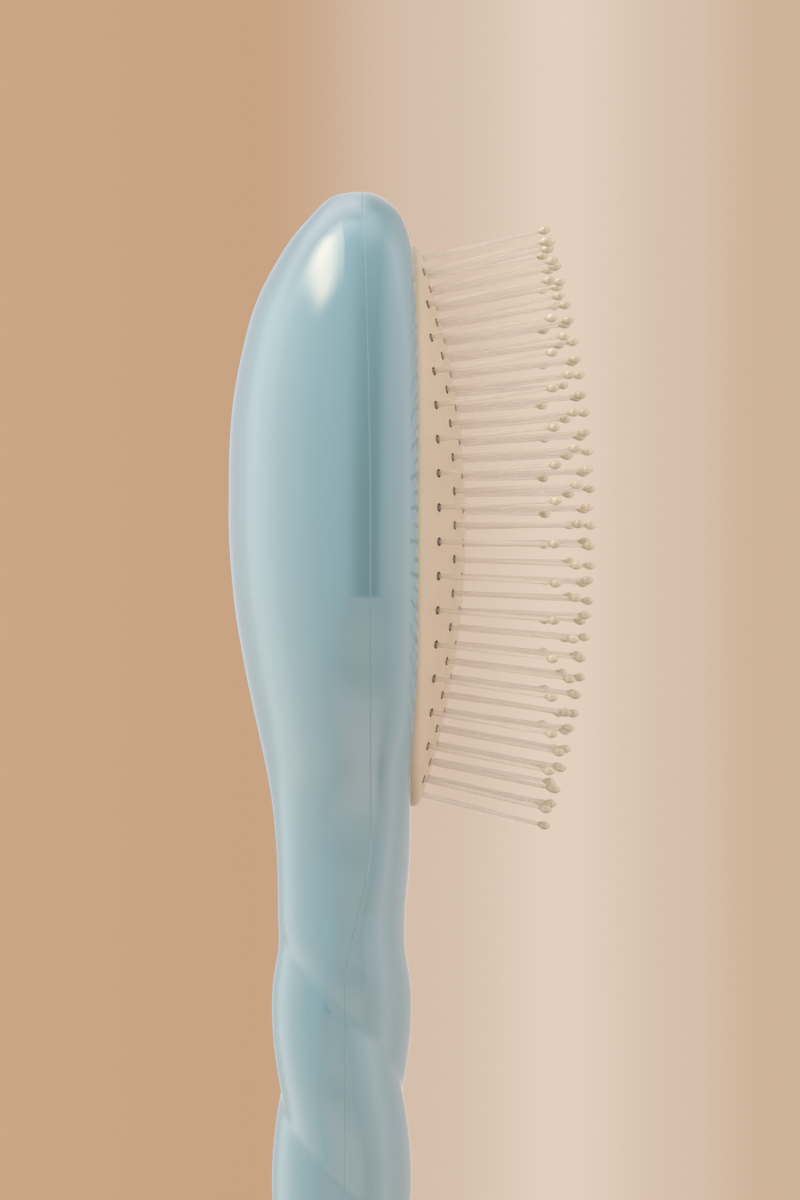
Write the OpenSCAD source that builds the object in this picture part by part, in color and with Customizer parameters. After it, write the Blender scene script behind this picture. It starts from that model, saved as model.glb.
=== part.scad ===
// Cushion brush for detangling hair: a two-part hollow body with a twisted
// handle, a domed rubber pad on an air chamber, and ball-tipped nylon pins.
// +Z runs up the handle to the head, +X points out of the pad, and the
// origin is the middle of the flat end of the handle.

/* [Body] */
// Length of the handle, from its flat end to the neck
handle_l = 105; // [95:1:120]
// Length of the run from the neck to the lower end of the pad
neck_run = 16.7; // [14:0.1:22]
// Width of the rim above the pad
top_rim = 8.7; // [8:0.1:11]
// Width of the rim beside the pad
side_rim = 4.8; // [4.2:0.1:6]
// Radius of the neck
neck_r = 10.2; // [9:0.1:10.8]
// Radius of the handle over its lobes
grip_r = 11.2; // [10.8:0.1:12.6]
// Distance from the handle's axis to the back of the head
back_depth = 18.3; // [16:0.1:21]
// Distance from the handle's axis to the rim round the pad
rim_depth = 12.3; // [11.6:0.1:14]
// Distance of the head's top point in front of the handle's axis
top_offset = 3.3; // [2:0.1:4.4]
// Distance of the parting line in front of the axis, on the head
seam_offset = 4.7; // [4:0.1:5]
// Wall thickness of both half shells
wall = 2; // [1.6:0.1:2.3]
// Thickness of the closed end of the handle
end_wall = 3; // [2.4:0.1:5]

/* [Twist] */
// Rise of one full turn of the two-lobe twist
twist_lead = 55; // [45:1:70]
// Depth of the two grooves between the lobes
groove_depth = 1.6; // [1:0.1:2.8]
// Distance from the neck down to where a groove crosses the side
groove_drop = 15.4; // [12:0.1:20]

/* [Pad] */
// Length of the rubber pad
pad_l = 89.6; // [80:0.2:100]
// Width of the rubber pad
pad_w = 41.4; // [36:0.2:48]
// Height of the pad's crown over the rim
pad_rise = 7.5; // [5:0.1:9]
// Thickness of the rubber
pad_t = 1.6; // [1.2:0.1:1.9]
// Width of the flange that the rim holds down
flange_w = 1.8; // [1.2:0.1:2]

/* [Pins] */
// Length of a pin outside the pad, with its ball
pin_l = 21; // [16:0.5:25]
// Radius of a pin where it leaves the pad
pin_r = 0.45; // [0.35:0.01:0.5]
// Radius of a pin inside its ball
pin_top_r = 0.3; // [0.22:0.01:0.34]
// Radius of a ball tip
tip_r = 0.72; // [0.6:0.01:0.85]
// Length of a ball tip along its pin
tip_l = 1.86; // [1.75:0.01:2.2]
// Spacing of the pins along the brush
pin_pitch = 5.36; // [4.6:0.01:7]

/* [Hidden] */
$fn = 48;

// Heights and half widths that follow from the sizes above
mid_z = handle_l + neck_run + pad_l / 2;
total_h = handle_l + neck_run + pad_l + top_rim;
head_half_w = pad_w / 2 + side_rim;

// Shape of the handle's end, neck and parting line
end_round = 3.6;
neck_blend = 9;
seam_handle = 0.6;
seam_run = 24;
fade_below = 0.6;
fade_run = 9;
end_plain = 4;
end_fade = 12;
seam_gap = 0.1;
groove_round_share = 1.05;
groove_start = 270;

// Roundings of the rim's outer edge and of the chamber's inner edge
rim_round = 4.6;
chamber_round = 0.8;

// Pad, flange and clamp ring, one behind the other
overrun = 1;
fit_gap = 0.1;
flange_drop = 3.5;
flange_t = 1.6;
skirt_t = 1.2;
opening_gap = 0.2;
ring_t = 2;
foot_r = 1.4;
foot_gap = 0.45;
foot_count = 8;
lip_x = rim_depth - flange_drop + fit_gap;
flange_top = rim_depth - flange_drop;
flange_low = flange_top - flange_t;
ring_top = flange_low - fit_gap;
ring_low = ring_top - ring_t;
crown_x = rim_depth + pad_rise;
crown_r = (pow(pad_w / 2, 2) + pow(pad_rise, 2)) / (2 * pad_rise);
crown_run_r = (pow(pad_l / 2, 2) + pow(pad_rise, 2)) / (2 * pad_rise);

// Pins: heads behind the pad, holes through it, and how they fan out
head_r = 0.9;
head_t = 0.5;
head_gap = 0.25;
hole_gap = 0.15;
bore_gap = 0.03;
tip_grip = 0.9;
pad_edge = 1.6;
column_edge = 4.5;
column_fade = 0.8;
least_gap = 3;
side_columns = 3;
fan_end = 14;
fan_side_share = 0.92;

// Head from the neck up to its middle: height, back, front, half width and
// rim, each from 0 at the neck to 1 at the middle
lower_share = [
    [0, 0, 0, 0, 0],
    [0.15, 0.03, 0.34, 0.05, 0.3],
    [0.3, 0.14, 0.38, 0.2, 0.85],
    [0.45, 0.36, 0.6, 0.53, 1],
    [0.6, 0.61, 0.9, 0.77, 1],
    [0.8, 0.87, 1, 0.95, 1],
    [1, 0.985, 1, 1, 1]
];
// Head from its middle up to its top point, each from 1 down to 0 there
upper_share = [
    [0, 0.985, 1, 1, 1],
    [0.2, 0.99, 1, 0.98, 1],
    [0.4, 0.951, 0.99, 0.917, 1],
    [0.6, 0.845, 0.965, 0.8, 1],
    [0.7, 0.757, 0.932, 0.714, 1],
    [0.8, 0.622, 0.892, 0.6, 1],
    [0.87, 0.507, 0.798, 0.493, 1],
    [0.93, 0.376, 0.662, 0.368, 1],
    [0.97, 0.28, 0.45, 0.243, 1],
    [0.99, 0.218, 0.3, 0.141, 1],
    [0.998, 0.13, 0.17, 0.07, 1],
    [1, 0, 0, 0, 1]
];

// How finely the shells are lofted
end_steps = 4;
handle_steps = 46;
lower_steps = 3;
upper_steps = 2;
outer_sides = 15;
inner_sides = 9;
oval_sides = 72;

function mix(a, b, t) = a + (b - a) * t;
function ease(t) = let (c = max(0, min(1, t))) c * c * (3 - 2 * c);

// A smooth curve through rows of numbers, at share t past row i
function curve_row(rows, i, t) =
    let (
        a = rows[max(i - 1, 0)], b = rows[i],
        c = rows[i + 1], d = rows[min(i + 2, len(rows) - 1)]
    )
    (2 * b + (c - a) * t + (2 * a - 5 * b + 4 * c - d) * t * t
        + (3 * b - a - 3 * c + d) * t * t * t) / 2;
function curve_rows(rows, steps) =
    [for (i = [0 : len(rows) - 2], s = [0 : steps - 1]) curve_row(rows, i, s / steps)];

// Distance of the parting line in front of the axis, at height z
function seam_x(z) =
    z < mid_z
        ? mix(seam_handle, seam_offset, ease((z - handle_l) / seam_run + 1 / 2))
        : mix(seam_offset, top_offset, pow(min(1, (z - mid_z) / (total_h - mid_z)), 3 / 2));

// The twist: a radial cut that runs down the handle as two steep-edged
// grooves, and fades out at the neck and near the flat end
function twist_at(z) = ease((handle_l - fade_below - z) / fade_run) * ease((z - end_plain) / end_fade);
function groove_at(angle, z) =
    let (
        turn = (groove_start + (handle_l - groove_drop - z) * 360 / twist_lead - angle) / 180,
        u = turn - floor(turn)
    )
    1 - pow(sin(180 * u), groove_round_share);
function twisted(p) =
    let (cut = twist_at(p.z) * groove_depth * groove_at(atan2(p.y, p.x), p.z), r = norm([p.x, p.y]))
    [p.x * (1 - cut / r), p.y * (1 - cut / r), p.z];

// Sections of the body from the bottom up, each as height, back, front,
// half width, share of rim, and the same four sizes of the hollow inside
function grip_at(z) = mix(grip_r, neck_r, ease((z - handle_l) / neck_blend + 1));
function end_cut(z) = z < end_round ? end_round - sqrt(pow(end_round, 2) - pow(end_round - z, 2)) : 0;
function handle_section(z) =
    let (r = grip_at(z) - end_cut(z), hollow = grip_at(z) - wall - twist_at(z) * groove_depth)
    [z, r, r, r, 0, mix(end_wall, handle_l, z / handle_l), hollow, hollow, hollow];
function lower_section(row) =
    let (
        z = mix(handle_l, mid_z, row[0]), cut = wall + twist_at(z) * groove_depth,
        back = mix(neck_r, back_depth, row[1]), front = mix(neck_r, rim_depth, row[2]),
        half = mix(neck_r, head_half_w, row[3])
    )
    [z, back, front, half, row[4], z, back - cut, min(lip_x, front - cut), half - cut];
function upper_section(row) =
    let (
        z = mix(mid_z, total_h, row[0]), z_in = mix(mid_z, total_h - wall, row[0]),
        back = mix(-top_offset, back_depth, row[1]), front = mix(top_offset, rim_depth, row[2]),
        half = mix(0, head_half_w, row[3]),
        keep_back = 1 - wall / (back_depth + seam_offset), keep_half = 1 - wall / head_half_w
    )
    [
        z, back, front, half, row[4], z_in,
        (back + seam_x(z)) * keep_back - seam_x(z_in),
        min(lip_x, seam_x(z_in) + front - seam_x(z)), half * keep_half
    ];
sections = concat(
    [for (i = [0 : end_steps - 1]) handle_section(end_round * (1 - cos(90 * i / end_steps)))],
    [for (i = [0 : handle_steps - 1]) handle_section(mix(end_round, handle_l, i / handle_steps))],
    [for (row = curve_rows(lower_share, lower_steps)) lower_section(row)],
    [for (row = curve_rows(upper_share, upper_steps)) upper_section(row)]
);

// Points of a section at angle a, from 0 at one seam to 180 at the other
function back_outer(s, a) =
    twisted([seam_x(s[0]) - (seam_x(s[0]) + s[1]) * sin(a), -s[3] * cos(a), s[0]]);
function back_inner(s, a) =
    [seam_x(s[5]) - (seam_x(s[5]) + s[6]) * sin(a), -s[8] * cos(a), s[5]];
function front_outer(s, a) =
    let (seam = seam_x(s[0]), edge = mix(s[3], min(rim_round, s[3]), s[4]))
    twisted([
        seam + max(seam_gap, (s[2] - seam) * sin(a)),
        -sign(cos(a)) * (s[3] - edge) - edge * cos(a), s[0]
    ]);
function front_inner(s, a) =
    let (
        seam = seam_x(s[5]), depth = s[7] - seam,
        edge = mix(s[8], min(chamber_round, s[8]), s[4]),
        drop = mix(depth, min(chamber_round, depth), s[4])
    )
    [
        seam + (sin(a) < 0.01 ? seam_gap : depth - drop + drop * sin(a)),
        -sign(cos(a)) * (s[8] - edge) - edge * cos(a), s[5]
    ];

// A half shell closed along its seams: an outer and an inner skin, each a
// grid of sections that ends in one point at the top of the head
function split(q) = [[q[0], q[1], q[2]], [q[0], q[2], q[3]]];
function shell_faces(n) =
    let (
        no = outer_sides, ni = inner_sides, base = n * (no + 1) + 1,
        quads = [
            for (i = [0 : n - 2], j = [0 : no - 1])
                [for (c = [[i, j], [i, j + 1], [i + 1, j + 1], [i + 1, j]]) c[0] * (no + 1) + c[1]],
            for (i = [0 : n - 2], j = [0 : ni - 1])
                [for (c = [[i, j], [i + 1, j], [i + 1, j + 1], [i, j + 1]]) base + c[0] * (ni + 1) + c[1]],
            for (i = [0 : n - 2]) [
                i * (no + 1), (i + 1) * (no + 1), base + (i + 1) * (ni + 1), base + i * (ni + 1)
            ],
            for (i = [0 : n - 2]) [
                (i + 1) * (no + 1) + no, i * (no + 1) + no,
                base + i * (ni + 1) + ni, base + (i + 1) * (ni + 1) + ni
            ],
            [no, 0, base, base + ni]
        ],
        top = base - 1, top_in = base + n * (ni + 1), last = (n - 1) * (no + 1),
        last_in = base + (n - 1) * (ni + 1)
    )
    concat(
        [for (q = quads, t = split(q)) t],
        [for (j = [0 : no - 1]) [last + j, last + j + 1, top]],
        [for (j = [0 : ni - 1]) [last_in + j, top_in, last_in + j + 1]],
        split([last, top, top_in, last_in]),
        split([top, last + no, last_in + ni, top_in]),
        [[for (j = [no : -1 : 0]) j], [for (j = [0 : ni]) base + j]]
    );
function flipped(faces) = [for (f = faces) [for (i = [len(f) - 1 : -1 : 0]) f[i]]];

module back_shell() {
    color([0.62, 0.75, 0.79])
        polyhedron(
            points = concat(
                [for (s = sections, j = [0 : outer_sides]) back_outer(s, 180 * j / outer_sides)],
                [[top_offset, 0, total_h]],
                [for (s = sections, j = [0 : inner_sides]) back_inner(s, 180 * j / inner_sides)],
                [[seam_x(total_h - wall), 0, total_h - wall]]
            ),
            faces = shell_faces(len(sections)), convexity = 6
        );
}

// A right prism over the pad's outline, widened by grow, between two depths
module oval(grow, low, high) {
    translate([low, 0, mid_z]) rotate([90, 0, 90]) linear_extrude(high - low)
        polygon([
            for (i = [0 : oval_sides - 1])
                let (a = 360 * i / oval_sides)
                [(pad_w / 2 + grow) * cos(a), (pad_l / 2 + grow) * sin(a)]
        ]);
}

module front_shell() {
    color([0.66, 0.78, 0.82])
        difference() {
            polyhedron(
                points = concat(
                    [for (s = sections, j = [0 : outer_sides]) front_outer(s, 180 * j / outer_sides)],
                    [[top_offset + seam_gap, 0, total_h]],
                    [for (s = sections, j = [0 : inner_sides]) front_inner(s, 180 * j / inner_sides)],
                    [[seam_x(total_h - wall) + seam_gap, 0, total_h - wall]]
                ),
                faces = flipped(shell_faces(len(sections))), convexity = 6
            );
            oval(opening_gap, ring_low, rim_depth + overrun);
        }
}

// The solid under the crown, for the outside or, made thinner, the inside
module crown(thinner) {
    translate([crown_x - crown_run_r, 0, mid_z]) rotate([90, 0, 0])
        rotate_extrude($fn = 180)
            translate([crown_run_r - crown_r, 0]) circle(r = crown_r - thinner, $fn = 96);
}

// Places of the pins in one column, counted from the pad's middle
function column_spread(s) = sqrt(max(0, 1 - pow(s / (pad_l / 2 - column_fade), 2)));
function column_gap(s) = (pad_w / 2 - column_edge) / side_columns * column_spread(s);
function column_places(k) =
    let (shift = abs(k) % 2 / 2, most = floor((pad_l / 2 - pad_edge) / pin_pitch - shift))
    [
        for (i = [-most - 2 * shift : most])
            let (s = (i + shift) * pin_pitch)
            if (k == 0 || 2 * column_gap(s) > least_gap) [k * column_gap(s), s]
    ];
function crown_at(y, s) =
    crown_x - crown_run_r
        + sqrt(pow(crown_run_r - crown_r + sqrt(pow(crown_r, 2) - y * y), 2) - s * s);

// Stands its children on the pad, along each pin of column k
module each_pin(k) {
    for (place = column_places(k))
        translate([crown_at(place.x, place.y), place.x, mid_z + place.y])
            rotate([
                0, 90 - fan_end * place.y / (pad_l / 2),
                fan_side_share * asin(place.x / crown_r)
            ])
                children();
}

module cushion_pad() {
    color([0.87, 0.8, 0.68])
        difference() {
            union() {
                intersection() {
                    crown(0);
                    oval(0, flange_low, crown_x + overrun);
                }
                oval(flange_w, flange_low, flange_top);
            }
            intersection() {
                crown(pad_t);
                oval(-skirt_t, flange_low - overrun, crown_x);
            }
            for (k = [-side_columns : side_columns])
                each_pin(k) translate([0, 0, -2 * pad_t]) cylinder(r = pin_r + hole_gap, h = 3 * pad_t);
        }
}

// Depth at which a foot of the clamp ring meets the back shell's inside
function hollow_at(z, column) = lookup(z, [for (s = sections) [s[5], s[column]]]);
function foot_end(y, z) =
    let (share = min(1, abs(y) / hollow_at(z, 8)))
    seam_x(z) - (seam_x(z) + hollow_at(z, 6)) * sqrt(1 - share * share) + foot_gap;

module pad_clamp_ring() {
    middle = (flange_w - skirt_t) / 2;
    color([0.8, 0.82, 0.82]) {
        difference() {
            oval(flange_w, ring_low, ring_top);
            oval(-skirt_t, ring_low - overrun, ring_top + overrun);
        }
        for (i = [0 : foot_count - 1]) {
            a = 360 * (i + 1 / 2) / foot_count;
            y = (pad_w / 2 + middle) * cos(a);
            z = mid_z + (pad_l / 2 + middle) * sin(a);
            reach = foot_r + foot_gap;
            low = foot_end(y + reach * cos(a), z + reach * sin(a));
            translate([low, y, z]) rotate([0, 90, 0]) cylinder(r = foot_r, h = ring_low + ring_t / 2 - low);
        }
    }
}

// A column of tapered pins, each with a flat head behind the pad
module pins(k) {
    shaft_low = -pad_t - head_gap;
    color([0.93, 0.93, 0.9])
        each_pin(k) {
            translate([0, 0, shaft_low]) cylinder(r1 = pin_r, r2 = pin_top_r, h = pin_l - tip_l + tip_grip - shaft_low);
            translate([0, 0, shaft_low - head_t]) cylinder(r = head_r, h = head_t);
        }
}

// A column of ball tips, each with a blind bore that takes its pin
module ball_tips(k) {
    color([0.9, 0.84, 0.7])
        each_pin(k) translate([0, 0, pin_l - tip_l])
            difference() {
                union() {
                    translate([0, 0, tip_r]) sphere(r = tip_r);
                    translate([0, 0, tip_l - tip_r]) sphere(r = tip_r);
                    translate([0, 0, tip_r]) cylinder(r = tip_r, h = tip_l - 2 * tip_r);
                }
                translate([0, 0, -overrun]) cylinder(r = pin_top_r + bore_gap, h = overrun + tip_grip);
            }
}

back_shell();
front_shell();
cushion_pad();
pad_clamp_ring();
pins(-3);  // pins_row_1
pins(-2);  // pins_row_2
pins(-1);  // pins_row_3
pins(0);  // pins_row_4
pins(1);  // pins_row_5
pins(2);  // pins_row_6
pins(3);  // pins_row_7
ball_tips(-3);  // ball_tips_row_1
ball_tips(-2);  // ball_tips_row_2
ball_tips(-1);  // ball_tips_row_3
ball_tips(0);  // ball_tips_row_4
ball_tips(1);  // ball_tips_row_5
ball_tips(2);  // ball_tips_row_6
ball_tips(3);  // ball_tips_row_7
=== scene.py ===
"""A detangling cushion brush with a twisted handle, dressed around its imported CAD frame."""

import math
import random

import bmesh
import bpy
import numpy as np
from mathutils import Matrix, Vector


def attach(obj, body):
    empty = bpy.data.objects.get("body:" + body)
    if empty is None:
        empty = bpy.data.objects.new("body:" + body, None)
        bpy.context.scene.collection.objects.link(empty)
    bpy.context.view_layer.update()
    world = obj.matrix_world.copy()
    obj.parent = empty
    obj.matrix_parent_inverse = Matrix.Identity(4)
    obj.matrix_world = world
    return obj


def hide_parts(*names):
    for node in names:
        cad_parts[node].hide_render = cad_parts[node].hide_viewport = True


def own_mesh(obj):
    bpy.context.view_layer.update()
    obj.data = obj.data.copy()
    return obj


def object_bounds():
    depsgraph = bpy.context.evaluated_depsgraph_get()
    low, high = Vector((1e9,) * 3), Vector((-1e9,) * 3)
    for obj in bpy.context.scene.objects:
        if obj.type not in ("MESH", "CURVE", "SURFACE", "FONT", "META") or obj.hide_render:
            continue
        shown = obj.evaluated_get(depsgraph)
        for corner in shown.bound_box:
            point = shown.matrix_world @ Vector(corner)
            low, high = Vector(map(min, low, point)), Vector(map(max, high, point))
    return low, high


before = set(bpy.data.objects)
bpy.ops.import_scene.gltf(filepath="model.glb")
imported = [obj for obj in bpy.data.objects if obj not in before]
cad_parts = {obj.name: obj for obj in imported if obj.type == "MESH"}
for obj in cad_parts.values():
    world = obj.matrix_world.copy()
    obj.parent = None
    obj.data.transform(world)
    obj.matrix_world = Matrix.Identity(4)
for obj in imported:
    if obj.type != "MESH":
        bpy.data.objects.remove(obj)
cad_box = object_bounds()
MM = 0.001

# Camera, level and square to the brush's side as in the photograph. The real
# size of one photograph pixel at the brush sets how much of it is in view.
PIXEL = 0.16 * MM
PHOTO_COLUMNS, PHOTO_ROWS = 800, 1200
HEAD_TOP_ROW = 192
AXIS_COLUMN = 342
CAMERA_AWAY = 700 * MM

camera = bpy.data.objects.new("camera", bpy.data.cameras.new("camera"))
camera.data.lens = camera.data.sensor_width * CAMERA_AWAY / (PHOTO_ROWS * PIXEL)
camera.location = (
    (PHOTO_COLUMNS / 2 - AXIS_COLUMN) * PIXEL,
    -CAMERA_AWAY,
    cad_box[1].z - (PHOTO_ROWS / 2 - HEAD_TOP_ROW) * PIXEL,
)
camera.rotation_euler = (math.radians(90), 0, 0)
bpy.context.collection.objects.link(camera)
bpy.context.scene.camera = camera
bpy.context.scene.view_settings.view_transform = "Standard"

# Backdrop and studio: a beige wall behind the brush with painted light and shade,
# darker to the left and paler in a band right of the brush, an even light in the
# room, and for the gloss a ring of soft reflectors with a dark gap at the front, a
# pale panel overhead towards the back and one warm lamp high on the left.
# Wall tones across the view are painted light and shade: darker on the left, with a paler band right of
# the brush
WALL_PAINTED_LIGHT_TONES = [
    (0.0, (0.592, 0.384, 0.24)),
    (0.32, (0.578, 0.37, 0.228)),
    (0.55, (0.672, 0.527, 0.42)),
    (0.7, (0.765, 0.625, 0.515)),
    (0.85, (0.675, 0.525, 0.42)),
    (0.95, (0.62, 0.456, 0.318)),
]
WALL_SPREAD = PHOTO_COLUMNS / 2 * PIXEL / CAMERA_AWAY

# Tones of the ring, by degrees turned left of the camera, and its glow, which is
# dimmer straight below the brush
REFLECTORS = [
    (-180, (0.29, 0.29, 0.3)), (-166, (0.27, 0.26, 0.26)), (-150, (0.29, 0.26, 0.26)),
    (-105, (0.6, 0.52, 0.5)), (-72, (0.9, 0.81, 0.84)), (-50, (0.72, 0.66, 0.69)),
    (-30, (0.58, 0.56, 0.59)), (0, (0.4, 0.43, 0.44)), (26, (0.46, 0.56, 0.63)),
    (38, (0.53, 0.62, 0.69)), (50, (0.58, 0.67, 0.72)), (61, (0.7, 0.76, 0.79)),
    (85, (0.87, 0.89, 0.9)), (98, (0.96, 0.96, 0.96)), (113, (0.88, 0.88, 0.88)),
    (121, (0.73, 0.73, 0.74)), (130, (0.5, 0.5, 0.51)), (141, (0.37, 0.36, 0.37)),
    (152, (0.29, 0.29, 0.3)), (163, (0.27, 0.27, 0.28)), (180, (0.29, 0.29, 0.3)),
]
REFLECTOR_GLOW, REFLECTOR_DIM = 2.6, 0.8
REFLECTOR_LOW = (-0.97, -0.82)

# Share of the ring beside the gap, and the gap's tones from straight down to
# straight up. It leans to the right as it rises, and ends overhead.
GAP_EDGES = [
    (-0.43, 1.0), (-0.34, 0.85), (-0.256, 0.42), (-0.17, 0.08), (-0.1, 0.0), (0.08, 0.0),
    (0.15, 0.12), (0.22, 0.48), (0.34, 0.84), (0.5, 1.0),
]
GAP_TONES = [
    (-1.0, (0.42, 0.39, 0.39)), (-0.5, (0.32, 0.3, 0.3)), (-0.2, (0.03, 0.03, 0.03)),
    (0.14, (0.02, 0.02, 0.02)), (0.5, (0.07, 0.08, 0.085)), (0.84, (0.22, 0.25, 0.27)),
    (0.93, (0.34, 0.39, 0.41)), (0.985, (0.6, 0.63, 0.66)), (1.0, (0.7, 0.72, 0.75)),
]
GAP_LEAN = 0.16
GAP_BACK = (0.15, 0.6)

# Reach of the panel and of the lamp across to the right, along the view and up,
# each edge as where it starts and where it ends. The panel's far part and the
# lamp's right part are dimmed to a share.
PANEL_TONE = (0.77, 0.69, 0.71)
PANEL_RIGHT, PANEL_NEAR, PANEL_LOW = (-0.15, 0.2), (0.05, 0.28), (0.4, 0.68)
PANEL_FAR, PANEL_FAR_SHARE = (0.42, 0.78), 0.3
LAMP_TONE, LAMP_GLOW = (1.0, 0.69, 0.48), 4.6
LAMP_LEFT, LAMP_RIGHT = (-0.84, -0.62), (-0.35, -0.33)
LAMP_SHADE, LAMP_SHADE_SHARE = (-0.58, -0.36), 0.4
LAMP_NEAR, LAMP_FAR, LAMP_LOW = (-0.55, -0.33), (-0.05, 0.28), (0.52, 0.72)
ROOM_LIGHT = (1.0, 0.985, 0.96)
ROOM_STRENGTH = 0.62


def wire(tree, source, target):
    """Joins an output to an input, or sets the input to a number or a tone."""
    if isinstance(source, bpy.types.NodeSocket):
        tree.links.new(source, target)
    else:
        target.default_value = (*source, 1.0) if isinstance(source, tuple) else source


def calc(tree, operation, *terms):
    """The result of a Math node on sockets and numbers."""
    node = tree.nodes.new("ShaderNodeMath")
    node.operation = operation
    for socket, term in zip(node.inputs, terms):
        wire(tree, term, socket)
    return node.outputs[0]


def soft_step(tree, value, low, high, at_low=0.0, at_high=1.0):
    """A smooth step of a value between two limits."""
    node = tree.nodes.new("ShaderNodeMapRange")
    node.interpolation_type = "SMOOTHSTEP"
    for name, limit in (("From Min", low), ("From Max", high), ("To Min", at_low), ("To Max", at_high)):
        node.inputs[name].default_value = limit
    wire(tree, value, node.inputs["Value"])
    return node.outputs["Result"]


def soft_fade(tree, value, low, high, left=0.0):
    """A smooth fall from 1 to what is left, between two limits of a value."""
    return soft_step(tree, value, low, high, 1.0, left)


def tone_ramp(tree, value, stops, smooth="LINEAR"):
    """A colour ramp through given stops."""
    node = tree.nodes.new("ShaderNodeValToRGB")
    node.color_ramp.interpolation = smooth
    while len(node.color_ramp.elements) < len(stops):
        node.color_ramp.elements.new(1.0)
    for element, (place, tone) in zip(node.color_ramp.elements, stops):
        element.position = place
        element.color = (*tone, 1.0)
    wire(tree, value, node.inputs["Fac"])
    return node.outputs["Color"]


def tone_dial(tree, value, stops, reach):
    """A colour ramp over a value that runs from minus to plus its reach."""
    place = calc(tree, "MULTIPLY_ADD", value, 0.5 / reach, 0.5)
    return tone_ramp(tree, place, [(stop / reach / 2 + 0.5, tone) for stop, tone in stops])


def all_of(tree, *shares):
    """The product of several shares."""
    whole = shares[0]
    for share in shares[1:]:
        whole = calc(tree, "MULTIPLY", whole, share)
    return whole


def mixed_tone(tree, share, first, second):
    """A colour that goes from the first to the second as the share goes from 0 to 1."""
    node = tree.nodes.new("ShaderNodeMix")
    node.data_type = "RGBA"
    wire(tree, share, node.inputs["Factor"])
    wire(tree, first, node.inputs["A"])
    wire(tree, second, node.inputs["B"])
    return node.outputs["Result"]


def mixed_light(tree, share, first, second):
    """A shader that goes from the first to the second as the share goes from 0 to 1."""
    node = tree.nodes.new("ShaderNodeMixShader")
    for socket, source in zip(node.inputs, (share, first, second)):
        wire(tree, source, socket)
    return node.outputs[0]


def background(tree, tone, strength=1.0):
    """A glow of one tone or ramp, all round the brush."""
    node = tree.nodes.new("ShaderNodeBackground")
    wire(tree, tone, node.inputs["Color"])
    wire(tree, strength, node.inputs["Strength"])
    return node.outputs[0]


world = bpy.data.worlds.new("studio")
bpy.context.scene.world = world
world.use_nodes = True
tree = world.node_tree
tree.nodes.clear()
parts = tree.nodes.new("ShaderNodeSeparateXYZ")
wire(tree, tree.nodes.new("ShaderNodeTexCoord").outputs["Generated"], parts.inputs[0])
across, along, up = parts.outputs

wall_place = calc(tree, "MULTIPLY_ADD", across, 0.5 / WALL_SPREAD, 0.5)
wall = background(tree, tone_ramp(tree, wall_place, WALL_PAINTED_LIGHT_TONES, "EASE"))

from_left, from_front = (calc(tree, "MULTIPLY", way, -1.0) for way in (across, along))
turned = calc(tree, "ARCTAN2", from_left, from_front)
ring = tone_dial(tree, turned, [(math.radians(turn), tone) for turn, tone in REFLECTORS], math.pi)
leaned = calc(tree, "MULTIPLY_ADD", calc(tree, "MAXIMUM", up, 0.0), -GAP_LEAN, across)
beside_gap = tone_dial(tree, leaned, [(side, (share,) * 3) for side, share in GAP_EDGES], 1.0)
past_gap = calc(tree, "MAXIMUM", beside_gap, soft_step(tree, along, *GAP_BACK))
walls = mixed_tone(tree, past_gap, tone_dial(tree, up, GAP_TONES, 1.0), ring)
panel = all_of(
    tree,
    soft_fade(tree, across, *PANEL_RIGHT),
    soft_step(tree, along, *PANEL_NEAR),
    soft_fade(tree, along, *PANEL_FAR, PANEL_FAR_SHARE),
    soft_step(tree, up, *PANEL_LOW),
)
reflector_glow = soft_step(tree, up, *REFLECTOR_LOW, REFLECTOR_DIM, REFLECTOR_GLOW)
reflectors = background(tree, mixed_tone(tree, panel, walls, PANEL_TONE), reflector_glow)

lamp_glow = all_of(
    tree,
    soft_step(tree, across, *LAMP_LEFT),
    soft_fade(tree, across, *LAMP_RIGHT),
    soft_fade(tree, across, *LAMP_SHADE, LAMP_SHADE_SHARE),
    soft_step(tree, along, *LAMP_NEAR),
    soft_fade(tree, along, *LAMP_FAR),
    soft_step(tree, up, *LAMP_LOW, 0.0, LAMP_GLOW),
)
studio = tree.nodes.new("ShaderNodeAddShader")
wire(tree, reflectors, studio.inputs[0])
wire(tree, background(tree, LAMP_TONE, lamp_glow), studio.inputs[1])

# The wall is for rays that pass the brush, and the studio for its gloss
rays = tree.nodes.new("ShaderNodeLightPath").outputs
past_brush = calc(tree, "MAXIMUM", rays["Is Camera Ray"], rays["Is Transmission Ray"])
room_or_wall = mixed_light(tree, past_brush, background(tree, ROOM_LIGHT, ROOM_STRENGTH), wall)
surroundings = mixed_light(tree, rays["Is Glossy Ray"], room_or_wall, studio.outputs[0])
wire(tree, surroundings, tree.nodes.new("ShaderNodeOutputWorld").inputs["Surface"])

# Floor: a plain pale disc under the brush that fades into the backdrop, so
# that the brush stands on something and keeps its shadow.
FLOOR_RADIUS = 340 * MM
FLOOR_PLAIN = 120 * MM
FLOOR_SIDES = 96
FLOOR_TONE, FLOOR_ROUGHNESS = (0.66, 0.52, 0.41), 0.9


def placed(name, bm, material):
    """A mesh as an object at the origin, with its material."""
    mesh = bpy.data.meshes.new(name)
    bm.to_mesh(mesh)
    bm.free()
    mesh.materials.append(material)
    new = bpy.data.objects.new(name, mesh)
    bpy.context.collection.objects.link(new)
    return new


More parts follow.
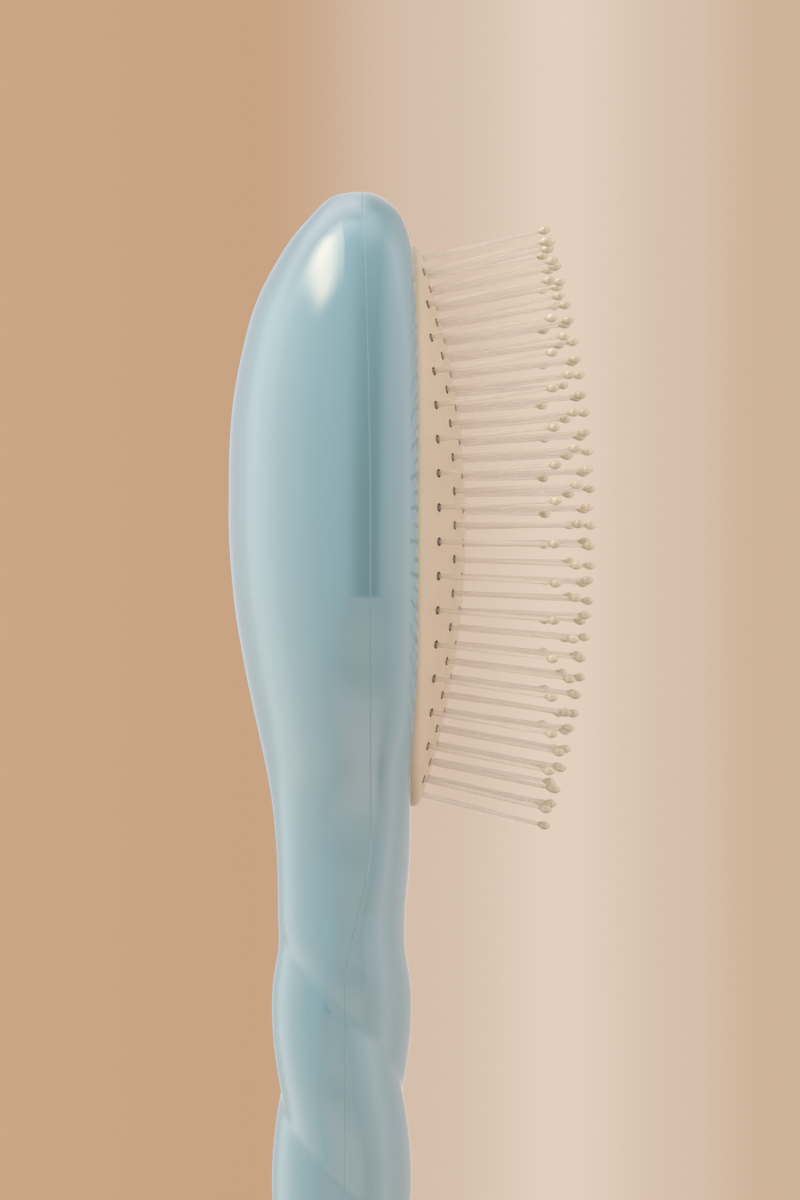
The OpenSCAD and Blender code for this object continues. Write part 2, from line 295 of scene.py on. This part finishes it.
paper = bpy.data.materials.new("paper_floor")
paper.use_nodes = True
tree = paper.node_tree
sheet = tree.nodes["Principled BSDF"]
sheet.inputs["Base Color"].default_value = (*FLOOR_TONE, 1.0)
sheet.inputs["Roughness"].default_value = FLOOR_ROUGHNESS
reach = tree.nodes.new("ShaderNodeVectorMath")
reach.operation = "LENGTH"
wire(tree, tree.nodes.new("ShaderNodeTexCoord").outputs["Object"], reach.inputs[0])
wire(tree, soft_fade(tree, reach.outputs["Value"], FLOOR_PLAIN, FLOOR_RADIUS), sheet.inputs["Alpha"])

bm = bmesh.new()
bmesh.ops.create_circle(bm, cap_ends=True, segments=FLOOR_SIDES, radius=FLOOR_RADIUS)
floor = placed("floor", bm, paper)
floor.visible_glossy = False

# Studio lamps: a large soft key high on the left and a softer fill on the
# right, which don't show in the gloss, because the reflectors stand for them.
HEAD_MIDDLE = Vector((0.0, 0.0, 166.5 * MM))
BOX_SIDE = 500 * MM


def soft_box(name, turn, rise, away, glow):
    """A square lamp turned left of the camera and raised, in degrees, that looks at the head."""
    turn, rise = math.radians(turn), math.radians(rise)
    side = Vector((-math.sin(turn) * math.cos(rise), -math.cos(turn) * math.cos(rise), math.sin(rise)))
    lamp = bpy.data.lights.new(name, "AREA")
    lamp.shape = "RECTANGLE"
    lamp.size = lamp.size_y = BOX_SIDE
    lamp.energy = glow * math.pi * BOX_SIDE**2
    holder = bpy.data.objects.new(name, lamp)
    holder.location = HEAD_MIDDLE + side * away
    holder.rotation_euler = (-side).to_track_quat("-Z", "Y").to_euler()
    holder.visible_camera = False
    holder.visible_glossy = False
    bpy.context.collection.objects.link(holder)


soft_box("key", turn=55, rise=42, away=700 * MM, glow=2.8)
soft_box("fill", turn=-60, rise=15, away=800 * MM, glow=1.0)

# Warm card: a lit sheet near the brush, below the lens, which shows in the gloss
# alone. It has a straight top edge, and fades out to the left and to the right.
CARD_HALF_W, CARD_TOP, CARD_LOW = 320 * MM, 127 * MM, -200 * MM
CARD_AWAY = 140 * MM
CARD_TONES = [
    (0.0, (0.48, 0.44, 0.46)), (0.06, (0.55, 0.49, 0.49)), (0.14, (0.62, 0.55, 0.53)),
    (0.21, (0.53, 0.48, 0.48)), (0.37, (0.84, 0.75, 0.76)), (0.6, (0.94, 0.82, 0.84)),
]
CARD_GLOW = 2.4
CARD_DEEP = 280 * MM
CARD_LEFT, CARD_FADE, CARD_SPREAD, CARD_SPREAD_DEEP = -25 * MM, 35 * MM, 1.6, 80 * MM
CARD_RIGHT, CARD_RIGHT_FADE = 30 * MM, 70 * MM

lit_card = bpy.data.materials.new("lit_card")
lit_card.use_nodes = True
lit_card.cycles.emission_sampling = "NONE"
tree = lit_card.node_tree
place = tree.nodes.new("ShaderNodeSeparateXYZ")
wire(tree, tree.nodes.new("ShaderNodeTexCoord").outputs["Object"], place.inputs[0])
below_top = calc(tree, "SUBTRACT", CARD_TOP, place.outputs["Z"])
spread = calc(tree, "MULTIPLY", calc(tree, "MINIMUM", below_top, CARD_SPREAD_DEEP), CARD_SPREAD)
left_run = calc(tree, "ADD", spread, CARD_FADE)
past_left = calc(tree, "DIVIDE", calc(tree, "SUBTRACT", CARD_LEFT, place.outputs["X"]), left_run)
shown = all_of(
    tree,
    soft_fade(tree, past_left, 0.0, 1.0),
    soft_fade(tree, place.outputs["X"], CARD_RIGHT, CARD_RIGHT + CARD_RIGHT_FADE),
)
light = tree.nodes.new("ShaderNodeEmission")
card_place = calc(tree, "DIVIDE", below_top, CARD_DEEP)
wire(tree, tone_ramp(tree, card_place, CARD_TONES), light.inputs["Color"])
wire(tree, CARD_GLOW, light.inputs["Strength"])
clear = tree.nodes.new("ShaderNodeBsdfTransparent")
faded = mixed_light(tree, shown, clear.outputs[0], light.outputs[0])
wire(tree, faded, tree.nodes["Material Output"].inputs["Surface"])

bm = bmesh.new()
bmesh.ops.create_grid(bm, x_segments=1, y_segments=1, size=1)
for v in bm.verts:
    v.co = (v.co.x * CARD_HALF_W, -CARD_AWAY, CARD_TOP if v.co.y > 0 else CARD_LOW)
card = placed("warm_card", bm, lit_card)
card.visible_camera = card.visible_diffuse = card.visible_transmission = card.visible_shadow = False

# Back half shell: the back of the head, the neck and the handle's rear half,
# moulded in glossy pale blue plastic. It meets the front half on a fine
# parting line, and two grooves twist down the handle through both.
HANDLE_L = 105 * MM
NECK_RUN = 16.7 * MM
TOTAL_H = cad_box[1].z
PAD_L, PAD_W = 89.6 * MM, 41.4 * MM
MID_Z = HANDLE_L + NECK_RUN + PAD_L / 2
HEAD_HALF_W = 25.5 * MM
NECK_R, GRIP_R = 10.2 * MM, 11.2 * MM
BACK_DEPTH, RIM_DEPTH = 18.3 * MM, 12.3 * MM
TOP_OFFSET, SEAM_HANDLE, SEAM_OFFSET = 3.3 * MM, 0.6 * MM, 4.7 * MM
SEAM_RUN = 24 * MM
SEAM_BEND = 1.5
SHELL_WALL = 2 * MM
END_ROUND = 3.6 * MM
NECK_BLEND = 13 * MM
TWIST_LEAD, LOBES, GROOVE_START = 55 * MM, 2, 270
GROOVE_DEPTH, GROOVE_DROP = 1.6 * MM, 15.4 * MM
GROOVE_STEEP, GROOVE_SOFT = 0.88, 1.15
FADE_BELOW, FADE_RUN = 0.6 * MM, 9 * MM
END_PLAIN, END_FADE = 4 * MM, 12 * MM
SEAM_GAP = 0.02 * MM
SEAM_EDGE, EDGE_ANGLE = 0.04 * MM, 60
SEAM_ROLL, SEAM_SINK = 0.18 * MM, 0.03 * MM
SAME_PLACE = 0.001 * MM
HANDLE_STEP = 1.0 * MM
NECK_STEP = 1.6 * MM
HALF_COLUMNS = 24
PATH_POINTS = 40
TONE_LOW, TONE_HIGH, TONE_DETAIL, GRAIN_DETAIL = 0.3, 0.7, 2.0, 3.0

# Head sections as shares of the sizes above: height, back, front, half width
# and rim, from the neck to the middle and from the middle to the top point
LOWER_SHARES = [
    (0, 0, 0, 0, 0),
    (0.15, 0.03, 0.34, 0.05, 0.3),
    (0.3, 0.14, 0.38, 0.2, 0.85),
    (0.45, 0.36, 0.6, 0.53, 1),
    (0.6, 0.61, 0.9, 0.77, 1),
    (0.8, 0.87, 1, 0.95, 1),
    (1, 0.985, 1, 1, 1),
]
UPPER_SHARES = [
    (0, 0.985, 1, 1, 1),
    (0.2, 0.99, 1, 0.98, 1),
    (0.4, 0.951, 0.99, 0.917, 1),
    (0.6, 0.845, 0.965, 0.8, 1),
    (0.7, 0.757, 0.932, 0.714, 1),
    (0.8, 0.622, 0.892, 0.6, 1),
    (0.87, 0.507, 0.798, 0.493, 1),
    (0.93, 0.376, 0.662, 0.368, 1),
    (0.97, 0.28, 0.45, 0.243, 1),
    (0.99, 0.205, 0.28, 0.141, 1),
    (0.998, 0.1, 0.125, 0.07, 1),
    (1, 0, 0, 0, 1),
]


def mix(a, b, share):
    """A value between a and b."""
    return a + (b - a) * share


def ease(share):
    """A soft step from 0 to 1."""
    share = min(1, max(0, share))
    return share * share * (3 - 2 * share)


def smooth_rows(rows, steps=12):
    """Rows of shares joined by a smooth curve through each of them."""
    rows = np.array(rows, float)
    curve = []
    for i in range(len(rows) - 1):
        a, b = rows[max(i - 1, 0)], rows[i]
        c, d = rows[i + 1], rows[min(i + 2, len(rows) - 1)]
        bend, twist = 2 * a - 5 * b + 4 * c - d, 3 * b - a - 3 * c + d
        for t in np.arange(steps) / steps:
            curve.append((2 * b + (c - a) * t + bend * t**2 + twist * t**3) / 2)
    return np.array(curve + [rows[-1]])


lower, upper = smooth_rows(LOWER_SHARES), smooth_rows(UPPER_SHARES)[1:]
head_rows = np.vstack([
    np.column_stack([
        mix(HANDLE_L, MID_Z, lower[:, 0]), mix(NECK_R, BACK_DEPTH, lower[:, 1]),
        mix(NECK_R, RIM_DEPTH, lower[:, 2]), mix(NECK_R, HEAD_HALF_W, lower[:, 3]), lower[:, 4],
    ]),
    np.column_stack([
        mix(MID_Z, TOTAL_H, upper[:, 0]), mix(-TOP_OFFSET, BACK_DEPTH, upper[:, 1]),
        mix(TOP_OFFSET, RIM_DEPTH, upper[:, 2]), HEAD_HALF_W * upper[:, 3], upper[:, 4],
    ]),
])


def section(z):
    """Back depth, front depth, half width and share of rim at height z."""
    if z < HANDLE_L:
        cut = END_ROUND - math.sqrt(END_ROUND**2 - max(0, END_ROUND - z) ** 2)
        r = mix(GRIP_R, NECK_R, ease((z - HANDLE_L) / NECK_BLEND + 1)) - cut
        return r, r, r, 0
    return [np.interp(z, head_rows[:, 0], head_rows[:, i]) for i in range(1, 5)]


def seam_x(z):
    """Distance of the parting line in front of the handle's axis."""
    if z < MID_Z:
        return mix(SEAM_HANDLE, SEAM_OFFSET, ease((z - HANDLE_L) / SEAM_RUN + 0.5))
    return mix(SEAM_OFFSET, TOP_OFFSET, min(1, (z - MID_Z) / (TOTAL_H - MID_Z)) ** SEAM_BEND)


def twisted(point):
    """The point moved towards the handle's axis where a groove runs."""
    x, y, z = point
    below_neck, above_end = ease((HANDLE_L - FADE_BELOW - z) / FADE_RUN), ease((z - END_PLAIN) / END_FADE)
    depth = below_neck * above_end * GROOVE_DEPTH
    radius = math.hypot(x, y)
    if depth == 0 or radius < depth:
        return point
    turn = GROOVE_START / 360 + (HANDLE_L - GROOVE_DROP - z) / TWIST_LEAD - math.atan2(y, x) / math.tau
    past_groove = turn * LOBES % 1
    groove = 1 - math.sin(math.pi * past_groove) ** (GROOVE_STEEP if past_groove < 0.5 else GROOVE_SOFT)
    keep = 1 - depth * groove / radius
    return Vector((x * keep, y * keep, z))


OPENING_GAP = 0.2 * MM
OPENING_ROUND = 0.7 * MM
OPENING_A = PAD_L / 2 + OPENING_GAP + OPENING_ROUND
OPENING_B = PAD_W / 2 + OPENING_GAP + OPENING_ROUND
OPENING_STEPS, TOP_STEPS, END_STEPS = 32, 9, 4

# Heights of the rows of both shells, close together where the shape turns
row_heights = [END_ROUND * (1 - math.cos(math.pi / 2 * i / END_STEPS)) for i in range(END_STEPS)]
row_heights += list(np.arange(END_ROUND, HANDLE_L, HANDLE_STEP))
row_heights += list(np.arange(HANDLE_L, MID_Z - OPENING_A - NECK_STEP / 2, NECK_STEP))
row_heights += [
    MID_Z + OPENING_A * math.sin(math.pi * (i / OPENING_STEPS - 0.5)) for i in range(OPENING_STEPS)
]
row_heights += [
    mix(MID_Z + OPENING_A, TOTAL_H, math.sin(math.pi / 2 * i / TOP_STEPS)) for i in range(TOP_STEPS + 1)
]
END_SHARES = [0.0, 0.5]


def even_path(x, y, count):
    """The points of a path set evenly along it, with its edge at the parting line rolled in."""
    length = np.concatenate([[0], np.cumsum(np.hypot(np.diff(x), np.diff(y)))])
    places = np.linspace(0, length[-1], count)
    places = np.insert(places, 1, min(SEAM_ROLL, places[1] / 2))
    points = np.column_stack([np.interp(places, length, x), np.interp(places, length, y)])
    points[0, 1] = max(0, points[0, 1] - SEAM_SINK)
    return points


def back_path(z):
    """Half a section of the back shell, from the parting line to its middle."""
    back, _, half, _ = section(z)
    seam = seam_x(z)
    angle = np.linspace(0, math.pi / 2, PATH_POINTS)
    return even_path(seam - (seam + back) * np.sin(angle), half * np.cos(angle), HALF_COLUMNS)


def half_shell(path_at):
    """A shell as a grid of sections, mirrored to both sides, with its flat end and its twist."""
    end_path = path_at(0)
    paths = [(0, mix(np.array([[seam_x(0), 0]]), end_path, share)) for share in END_SHARES]
    paths += [(z, path_at(z)) for z in row_heights]
    bm = bmesh.new()
    bmesh.ops.create_grid(bm, x_segments=len(paths) - 1, y_segments=HALF_COLUMNS, size=0.5)
    for v in bm.verts:
        z, path = paths[round((v.co.x + 0.5) * (len(paths) - 1))]
        x, y = path[round((v.co.y + 0.5) * HALF_COLUMNS)]
        v.co = (x, -y, z)
    bmesh.ops.mirror(bm, geom=bm.verts[:] + bm.edges[:] + bm.faces[:], axis="Y", merge_dist=0)
    bmesh.ops.remove_doubles(bm, verts=bm.verts, dist=SAME_PLACE)
    bmesh.ops.dissolve_degenerate(bm, edges=bm.edges, dist=SAME_PLACE)
    for v in bm.verts:
        v.co = twisted(v.co)
    bmesh.ops.recalc_face_normals(bm, faces=bm.faces)
    return bm


def new_piece(name, bm, material):
    """A finished mesh as a smooth shaded object at the origin."""
    piece = placed(name, bm, material)
    piece.data.shade_smooth()
    return piece


def walled(piece, wall):
    """Rounds a skin and gives it its wall, inwards."""
    smooth = piece.modifiers.new("smooth", "SUBSURF")
    smooth.levels = smooth.render_levels = 1
    thick = piece.modifiers.new("wall", "SOLIDIFY")
    thick.thickness = wall
    thick.offset = -1


def break_edges(piece, width):
    """Bevels the sharp edges where parts meet."""
    broken = piece.modifiers.new("edges", "BEVEL")
    broken.width = width
    broken.segments = 2
    broken.limit_method = "ANGLE"
    broken.angle_limit = math.radians(EDGE_ANGLE)


def surface_group():
    """Shared finish of moulded parts: a slow change of tone, and a fine grain for haze and ripple."""
    group = bpy.data.node_groups.new("moulded_finish", "ShaderNodeTree")
    for name, most, usual in (
        ("Tone Size", 1000.0, 20.0), ("Grain Size", 20000.0, 900.0),
        ("Haze", 1.0, 0.1), ("Haze Spread", 1.0, 0.04),
    ):
        socket = group.interface.new_socket(name, in_out="INPUT", socket_type="NodeSocketFloat")
        socket.min_value, socket.max_value, socket.default_value = 0.0, most, usual
    for name in ("Tone", "Roughness", "Height"):
        group.interface.new_socket(name, in_out="OUTPUT", socket_type="NodeSocketFloat")
    given = group.nodes.new("NodeGroupInput").outputs
    result = group.nodes.new("NodeGroupOutput").inputs
    place = group.nodes.new("ShaderNodeTexCoord").outputs["Object"]
    noises = []
    for size, detail in (("Tone Size", TONE_DETAIL), ("Grain Size", GRAIN_DETAIL)):
        noise = group.nodes.new("ShaderNodeTexNoise")
        noise.inputs["Detail"].default_value = detail
        wire(group, place, noise.inputs["Vector"])
        wire(group, given[size], noise.inputs["Scale"])
        noises.append(noise.outputs["Fac"])
    tone, grain = noises
    haze = calc(group, "MULTIPLY_ADD", grain, given["Haze Spread"], given["Haze"])
    wire(group, tone, result["Tone"])
    wire(group, haze, result["Roughness"])
    wire(group, grain, result["Height"])
    return group


moulded_finish = surface_group()


def moulded_material(name, dark, light, tone_size, grain_size, haze, haze_spread, bump, bump_depth):
    """A moulded plastic or rubber: two close tones, a hazy gloss and a fine surface ripple."""
    material = bpy.data.materials.new(name)
    material.use_nodes = True
    tree = material.node_tree
    shader = tree.nodes["Principled BSDF"]
    finish = tree.nodes.new("ShaderNodeGroup")
    finish.node_tree = moulded_finish
    for socket, value in zip(finish.inputs, (tone_size, grain_size, haze, haze_spread)):
        socket.default_value = value
    tones = tone_ramp(tree, finish.outputs["Tone"], [(TONE_LOW, dark), (TONE_HIGH, light)])
    ripple = tree.nodes.new("ShaderNodeBump")
    ripple.inputs["Strength"].default_value = bump
    ripple.inputs["Distance"].default_value = bump_depth
    wire(tree, tones, shader.inputs["Base Color"])
    wire(tree, finish.outputs["Roughness"], shader.inputs["Roughness"])
    wire(tree, finish.outputs["Height"], ripple.inputs["Height"])
    wire(tree, ripple.outputs["Normal"], shader.inputs["Normal"])
    return material


blue_plastic = moulded_material(
    "blue_plastic", (0.206, 0.358, 0.394), (0.216, 0.372, 0.408),
    tone_size=30, grain_size=700, haze=0.05, haze_spread=0.04, bump=0.04, bump_depth=0.02 * MM,
)
gloss = blue_plastic.node_tree.nodes["Principled BSDF"]
gloss.inputs["Coat Weight"].default_value = 1.0
gloss.inputs["Coat Roughness"].default_value = 0.02
gloss.inputs["IOR"].default_value = 1.55

back_shell = new_piece("back_half_shell", half_shell(back_path), blue_plastic)
walled(back_shell, SHELL_WALL)
break_edges(back_shell, SEAM_EDGE)
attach(back_shell, "brush_body")
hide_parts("back_shell")

# Front half shell: the rim round the pad, the front of the neck and of the
# handle, in the same plastic. The pad's opening has a small rounded edge and
# a lip that goes down to the pad's flange.
RIM_ROUND = 4.6 * MM
FLANGE_TOP = 8.8 * MM
LIP_X = FLANGE_TOP + 0.1 * MM
LIP_TURNS = 3
OPENING_SLACK = 0.004


def front_path(z):
    """Half a section of the front shell, from the parting line to the opening or the middle."""
    _, front, half, rim = section(z)
    edge = mix(half, min(RIM_ROUND, half), rim)
    angle = np.linspace(0, math.pi / 2, PATH_POINTS)
    seam = seam_x(z)
    x = np.append(seam + np.maximum(SEAM_GAP, (front - seam) * np.sin(angle)), max(front, seam))
    y = np.append(half - edge + edge * np.cos(angle), 0)
    end = OPENING_B * math.sqrt(max(0, 1 - ((z - MID_Z) / OPENING_A) ** 2))
    keep = y > end
    end_x = np.interp(end, y[::-1], x[::-1])
    return even_path(np.append(x[keep], end_x), np.append(y[keep], end), HALF_COLUMNS)


def on_opening(v):
    """True for a point on the edge of the pad's opening."""
    return abs((v.co.y / OPENING_B) ** 2 + ((v.co.z - MID_Z) / OPENING_A) ** 2 - 1) < OPENING_SLACK


def grow_strip(bm, edges):
    """Extrudes a strip from open edges, and gives its new points and new open edges."""
    made = bmesh.ops.extrude_edge_only(bm, edges=edges)["geom"]
    points = [g for g in made if isinstance(g, bmesh.types.BMVert)]
    return points, [g for g in made if isinstance(g, bmesh.types.BMEdge) and g.is_boundary]


bm = half_shell(front_path)
rim = [e for e in bm.edges if e.is_boundary and all(on_opening(v) for v in e.verts)]
turns = [math.pi / 2 * (i + 1) / LIP_TURNS for i in range(LIP_TURNS)]
drops = [(OPENING_ROUND * math.sin(t), OPENING_ROUND * (1 - math.cos(t))) for t in turns]
inward, sunk = 0, 0
for step_in, step_down in drops + [(OPENING_ROUND, None)]:
    points, rim = grow_strip(bm, rim)
    for v in points:
        v.co.y *= (OPENING_B - step_in) / (OPENING_B - inward)
        v.co.z = MID_Z + (v.co.z - MID_Z) * (OPENING_A - step_in) / (OPENING_A - inward)
        v.co.x = LIP_X if step_down is None else v.co.x - (step_down - sunk)
    inward, sunk = step_in, step_down
bmesh.ops.recalc_face_normals(bm, faces=bm.faces)
front_shell = new_piece("front_half_shell", bm, blue_plastic)
walled(front_shell, SHELL_WALL)
break_edges(front_shell, SEAM_EDGE)
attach(front_shell, "brush_body")
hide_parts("front_shell")

# Cushion pad: a domed sheet of cream rubber over the air chamber, with a hole
# for each pin. Its skirt goes down into the rim and ends in a flange.
PAD_RISE = 7.5 * MM
PAD_T = 1.6 * MM
FLANGE_W = 1.8 * MM
SHOULDER = 1.1 * MM
SHOULDER_SHARES = [(0.62, 0.3), (0.95, 0.9), (1.0, 1.8)]
CROWN_X = RIM_DEPTH + PAD_RISE
CROWN_R = ((PAD_W / 2) ** 2 + PAD_RISE**2) / (2 * PAD_RISE)
CROWN_RUN_R = ((PAD_L / 2) ** 2 + PAD_RISE**2) / (2 * PAD_RISE)
PAD_CELLS, PAD_SHARP = 36, 40
HOLE_R = 0.68 * MM
HOLE_SIDES, HOLE_BELOW = 14, 3 * PAD_T
PIN_PITCH = 5.36 * MM
ROW_EDGE, ROW_FADE, PAD_EDGE = 4.5 * MM, 0.8 * MM, 1.6 * MM
LEAST_GAP = 3 * MM
SIDE_ROWS = 3
FAN_END, FAN_SIDE = 14, 0.92
LEAN, LEAN_MOST, LEAN_SEED = 0.9, 2.0, 7


def crown_x(y, s):
    """Height of the pad's surface at y across and s along from its middle."""
    across_r = CROWN_RUN_R - CROWN_R + math.sqrt(CROWN_R**2 - y * y)
    return CROWN_X - CROWN_RUN_R + math.sqrt(across_r**2 - s * s)


def row_pins(k):
    """Where the pins of the k-th row from the middle stand, across and along the pad."""
    shift = k % 2 / 2
    most = math.floor((PAD_L / 2 - PAD_EDGE) / PIN_PITCH - shift)
    pins = []
    for i in range(round(-most - 2 * shift), most + 1):
        s = (i + shift) * PIN_PITCH
        narrowing = math.sqrt(1 - (s / (PAD_L / 2 - ROW_FADE)) ** 2)
        gap = (PAD_W / 2 - ROW_EDGE) / SIDE_ROWS * narrowing
        if k == 0 or 2 * gap > LEAST_GAP:
            pins.append((k * gap, s))
    return pins


def pin_stand(y, s):
    """A pin's place and direction on the pad: it fans out, and leans a little its own way."""
    leans = [max(-LEAN_MOST, min(LEAN_MOST, chance.gauss(0, LEAN))) for _ in "xy"]
    return (
        Matrix.Translation((crown_x(y, s), y, MID_Z + s))
        @ Matrix.Rotation(FAN_SIDE * math.asin(y / CROWN_R), 4, "Z")
        @ Matrix.Rotation(math.radians(90 - FAN_END * s / (PAD_L / 2)), 4, "Y")
        @ Matrix.Rotation(math.radians(leans[0]), 4, "X")
        @ Matrix.Rotation(math.radians(leans[1]), 4, "Y")
    )


chance = random.Random(LEAN_SEED)
pin_rows = [[pin_stand(y, s) for y, s in row_pins(k)] for k in range(-SIDE_ROWS, SIDE_ROWS + 1)]

bm = bmesh.new()
bmesh.ops.create_grid(bm, x_segments=PAD_CELLS, y_segments=PAD_CELLS, size=1)
for v in bm.verts:
    y = v.co.x * math.sqrt(1 - v.co.y**2 / 2) * (PAD_W / 2 - SHOULDER)
    s = v.co.y * math.sqrt(1 - v.co.x**2 / 2) * (PAD_L / 2 - SHOULDER)
    v.co = (crown_x(y, s), y, MID_Z + s)

# The shoulder, skirt and flange, step by step out from the crown's edge
edge = [e for e in bm.edges if e.is_boundary]
inset = SHOULDER
steps = [(out * SHOULDER, down * SHOULDER) for out, down in SHOULDER_SHARES]
for out, down in steps + [(SHOULDER, None), (SHOULDER + FLANGE_W, None)]:
    points, edge = grow_strip(bm, edge)
    for v in points:
        y, s = v.co.y, v.co.z - MID_Z
        round_y, round_s = y / (PAD_W / 2 - inset), s / (PAD_L / 2 - inset)
        size = math.hypot(round_y, round_s)
        round_y, round_s = round_y / size, round_s / size
        top = crown_x(round_y * (PAD_W / 2 - SHOULDER), round_s * (PAD_L / 2 - SHOULDER))
        v.co.y = round_y * (PAD_W / 2 - SHOULDER + out)
        v.co.z = MID_Z + round_s * (PAD_L / 2 - SHOULDER + out)
        v.co.x = FLANGE_TOP if down is None else top - down
    inset = SHOULDER - out
bmesh.ops.recalc_face_normals(bm, faces=bm.faces)

# An open sheet can come out with its faces inwards, and the crown's have to point out
crown_face = max(bm.faces, key=lambda f: f.calc_center_median().x)
if crown_face.normal.x < 0:
    bmesh.ops.reverse_faces(bm, faces=bm.faces)

cream_rubber = moulded_material(
    "cream_rubber", (0.77, 0.615, 0.455), (0.82, 0.66, 0.495),
    tone_size=60, grain_size=3500, haze=0.42, haze_spread=0.16, bump=0.25, bump_depth=0.05 * MM,
)
pad = new_piece("cushion_rubber", bm, cream_rubber)
walled(pad, PAD_T)


def add_rod(bm, stand, low, high, low_r, high_r, sides):
    """A round rod along the axis of a pin's stand, with a radius at each end."""
    bmesh.ops.create_cone(
        bm, cap_ends=True, segments=sides, radius1=low_r, radius2=high_r, depth=high - low,
        matrix=stand @ Matrix.Translation((0, 0, (low + high) / 2)),
    )


# A rod through the pad at each pin cuts its hole, and gives the hole's walls a dark brown as painted
# shade
bm = bmesh.new()
for stands in pin_rows:
    for stand in stands:
        add_rod(bm, stand, -HOLE_BELOW, PAD_T, HOLE_R, HOLE_R, HOLE_SIDES)
# The walls inside the holes are the same rubber; their dark brown is painted shade
painted_hole_shade = moulded_material(
    "painted_hole_shade_rubber", (0.16, 0.09, 0.05), (0.19, 0.11, 0.06),
    tone_size=60, grain_size=3500, haze=0.6, haze_spread=0.1, bump=0.1, bump_depth=0.05 * MM,
)
drill = new_piece("drill", bm, painted_hole_shade)
holes = pad.modifiers.new("holes", "BOOLEAN")
holes.material_mode = "TRANSFER"
holes.operation = "DIFFERENCE"
holes.solver = "EXACT"
holes.use_self = True
holes.object = drill
drilled = bpy.data.meshes.new_from_object(pad.evaluated_get(bpy.context.evaluated_depsgraph_get()))
pad.modifiers.clear()
pad.data = drilled
bpy.data.objects.remove(drill)
pad.data.set_sharp_from_angle(angle=math.radians(PAD_SHARP))
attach(pad, "brush_body")
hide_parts("cushion_pad")
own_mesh(pad)

# Clamp ring: a plain moulded ring inside the head that holds the pad's flange
# under the lip. It stays as the CAD node, in unpainted satin plastic.
satin_plastic = moulded_material(
    "satin_plastic", (0.55, 0.58, 0.58), (0.6, 0.63, 0.63),
    tone_size=80, grain_size=1500, haze=0.4, haze_spread=0.1, bump=0.1, bump_depth=0.03 * MM,
)
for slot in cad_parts["pad_clamp_ring"].material_slots:
    slot.material = satin_plastic

# Pins: tapered nylon rods, clear and slightly milky, each with a flat head
# behind the pad. A row of them is one piece, and rides on the pin field.
PIN_R, PIN_TOP_R = 0.45 * MM, 0.3 * MM
PIN_L = 21 * MM
TIP_L, TIP_GRIP = 1.86 * MM, 0.9 * MM
HEAD_R, HEAD_T, HEAD_GAP = 0.9 * MM, 0.5 * MM, 0.25 * MM
PIN_SIDES, PIN_SHARP = 10, 50

clear_nylon = moulded_material(
    "clear_nylon", (0.88, 0.745, 0.62), (0.95, 0.82, 0.7),
    tone_size=150, grain_size=2500, haze=0.3, haze_spread=0.1, bump=0.05, bump_depth=0.02 * MM,
)
nylon = clear_nylon.node_tree.nodes["Principled BSDF"]
nylon.inputs["Transmission Weight"].default_value = 0.4
nylon.inputs["Alpha"].default_value = 0.57
nylon.inputs["IOR"].default_value = 1.22

shaft_low = -PAD_T - HEAD_GAP
shaft_top = PIN_L - TIP_L + TIP_GRIP
for row, stands in enumerate(pin_rows, start=1):
    bm = bmesh.new()
    for stand in stands:
        add_rod(bm, stand, shaft_low, shaft_top, PIN_R, PIN_TOP_R, PIN_SIDES)
        add_rod(bm, stand, shaft_low - HEAD_T, shaft_low, HEAD_R, HEAD_R, PIN_SIDES)
    pins = new_piece(f"nylon_pins_row_{row}", bm, clear_nylon)
    pins.data.set_sharp_from_angle(angle=math.radians(PIN_SHARP))
    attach(pins, "pin_field")
    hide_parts(f"pins_row_{row}")

# Ball tips: small ivory drops moulded over the ends of the pins, fuller at
# the outer end and drawn out along the pin. They too are one piece for each row.
TIP_SIDES, TIP_RINGS = 10, 8
TIP_R, TIP_RUN = 0.72 * MM, 2.2 * MM
TIP_TAPER, TIP_POINT = 0.25, 0.15

ivory_tip = moulded_material(
    "ivory_tip", (0.63, 0.505, 0.34), (0.81, 0.68, 0.49),
    tone_size=260, grain_size=2000, haze=0.2, haze_spread=0.1, bump=0.05, bump_depth=0.02 * MM,
)
ivory_tip.node_tree.nodes["Principled BSDF"].inputs["Coat Weight"].default_value = 0.8

for row, stands in enumerate(pin_rows, start=1):
    bm = bmesh.new()
    for stand in stands:
        ball = bmesh.ops.create_uvsphere(bm, u_segments=TIP_SIDES, v_segments=TIP_RINGS, radius=1)
        for v in ball["verts"]:
            x, y, z = v.co
            full_r = TIP_R * (1 + TIP_TAPER * min(0, z)) * max(0, 1 - z * z) ** TIP_POINT
            v.co = stand @ Vector((x * full_r, y * full_r, PIN_L + (z - 1) * TIP_RUN / 2))
    tips = new_piece(f"ivory_tips_row_{row}", bm, ivory_tip)
    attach(tips, "pin_field")
    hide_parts(f"ball_tips_row_{row}")
